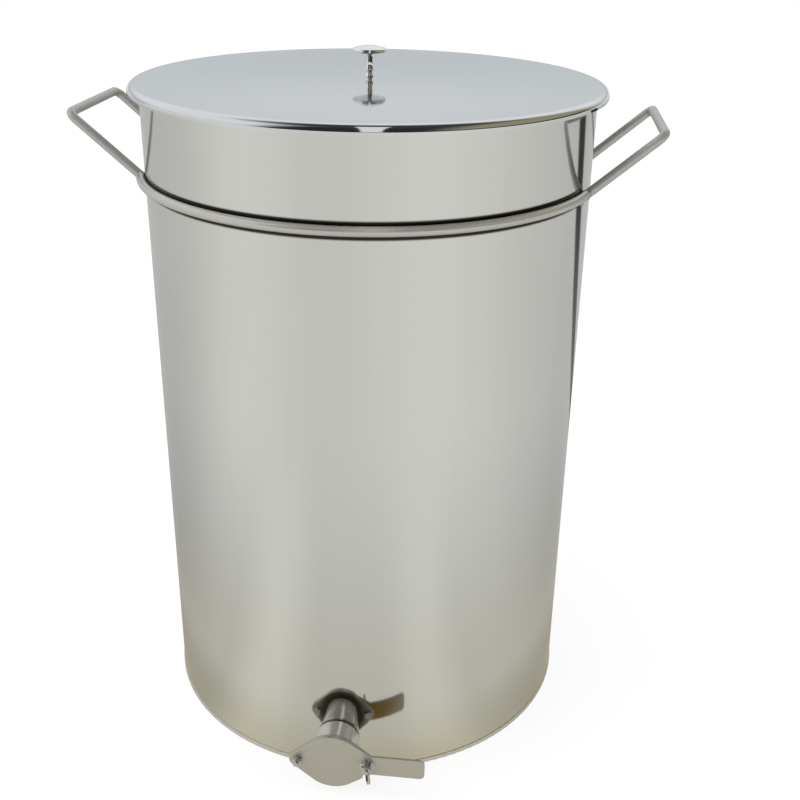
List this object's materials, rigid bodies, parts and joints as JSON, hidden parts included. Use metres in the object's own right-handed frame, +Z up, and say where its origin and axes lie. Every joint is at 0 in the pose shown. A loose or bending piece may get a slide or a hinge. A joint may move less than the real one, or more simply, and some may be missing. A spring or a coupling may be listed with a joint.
{
  "type": "honey settling tank",
  "caption": "Cylindrical stainless honey settling tank with a loose knobbed lid, handles and hoops of welded rod, and a swinging lever gate on the outlet near the base.",
  "frame": {"origin": "on the tank's axis, at the flat underside of the base", "axes": "+Z up along the tank's axis, -Y along the outlet, X across the two handles"},
  "size_m": [0.646, 0.5716, 0.7923],
  "materials": {
    "shell_steel": "mirror polished stainless sheet",
    "base_steel": "polished stainless sheet",
    "lid_steel": "mirror polished stainless sheet",
    "neck_steel": "polished stainless pipe",
    "handle_steel": "satin stainless rod",
    "gate_steel": "satin stainless",
    "fastener_steel": "bright stainless",
    "knob_chrome": "chromed",
    "seal_rubber": "matt rubber"
  },
  "bodies": {
    "tank": {"tank_shell": "shell_steel", "base_pan": "base_steel", "front_hoop": "handle_steel", "back_hoop": "handle_steel", "left_handle": "handle_steel", "right_handle": "handle_steel", "outlet_neck": "neck_steel", "neck_gasket": "seal_rubber", "gate_sleeve": "gate_steel", "gate_flange": "gate_steel", "gate_seal": "seal_rubber", "pivot_bolt": "fastener_steel", "pivot_washer": "fastener_steel", "pivot_nut": "fastener_steel", "clamp_bolt": "fastener_steel"},
    "lid": {"lid_disc": "lid_steel", "lid_knob": "knob_chrome", "knob_washer": "fastener_steel", "knob_screw": "fastener_steel"},
    "gate": {"gate_plate": "gate_steel"},
    "clamp": {"clamp_washer": "fastener_steel"},
    "wing": {"wing_nut": "fastener_steel"}
  },
  "joints": [
    {"name": "lid_lift", "type": "slide", "parent": "tank", "child": "lid", "axis": [0, 0, 1], "range_m": [0, 0.5]},
    {"name": "gate_swing", "type": "hinge", "parent": "tank", "child": "gate", "pos_m": [-0.04, -0.29, 0.047], "axis": [0, -1, 0], "range_deg": [0, 90]},
    {"name": "clamp_back_off", "type": "slide", "parent": "tank", "child": "clamp", "axis": [0, -1, 0], "range_m": [0, 0.0028]},
    {"name": "wing_turn", "type": "hinge", "parent": "clamp", "child": "wing", "pos_m": [0.04, -0.2946, 0.047], "axis": [0, -1, 0], "range_deg": [0, 990]}
  ],
  "couplings": [
    {"joint": "clamp_back_off", "follows": "wing_turn", "m_per_rad": 0.00015915}
  ]
}
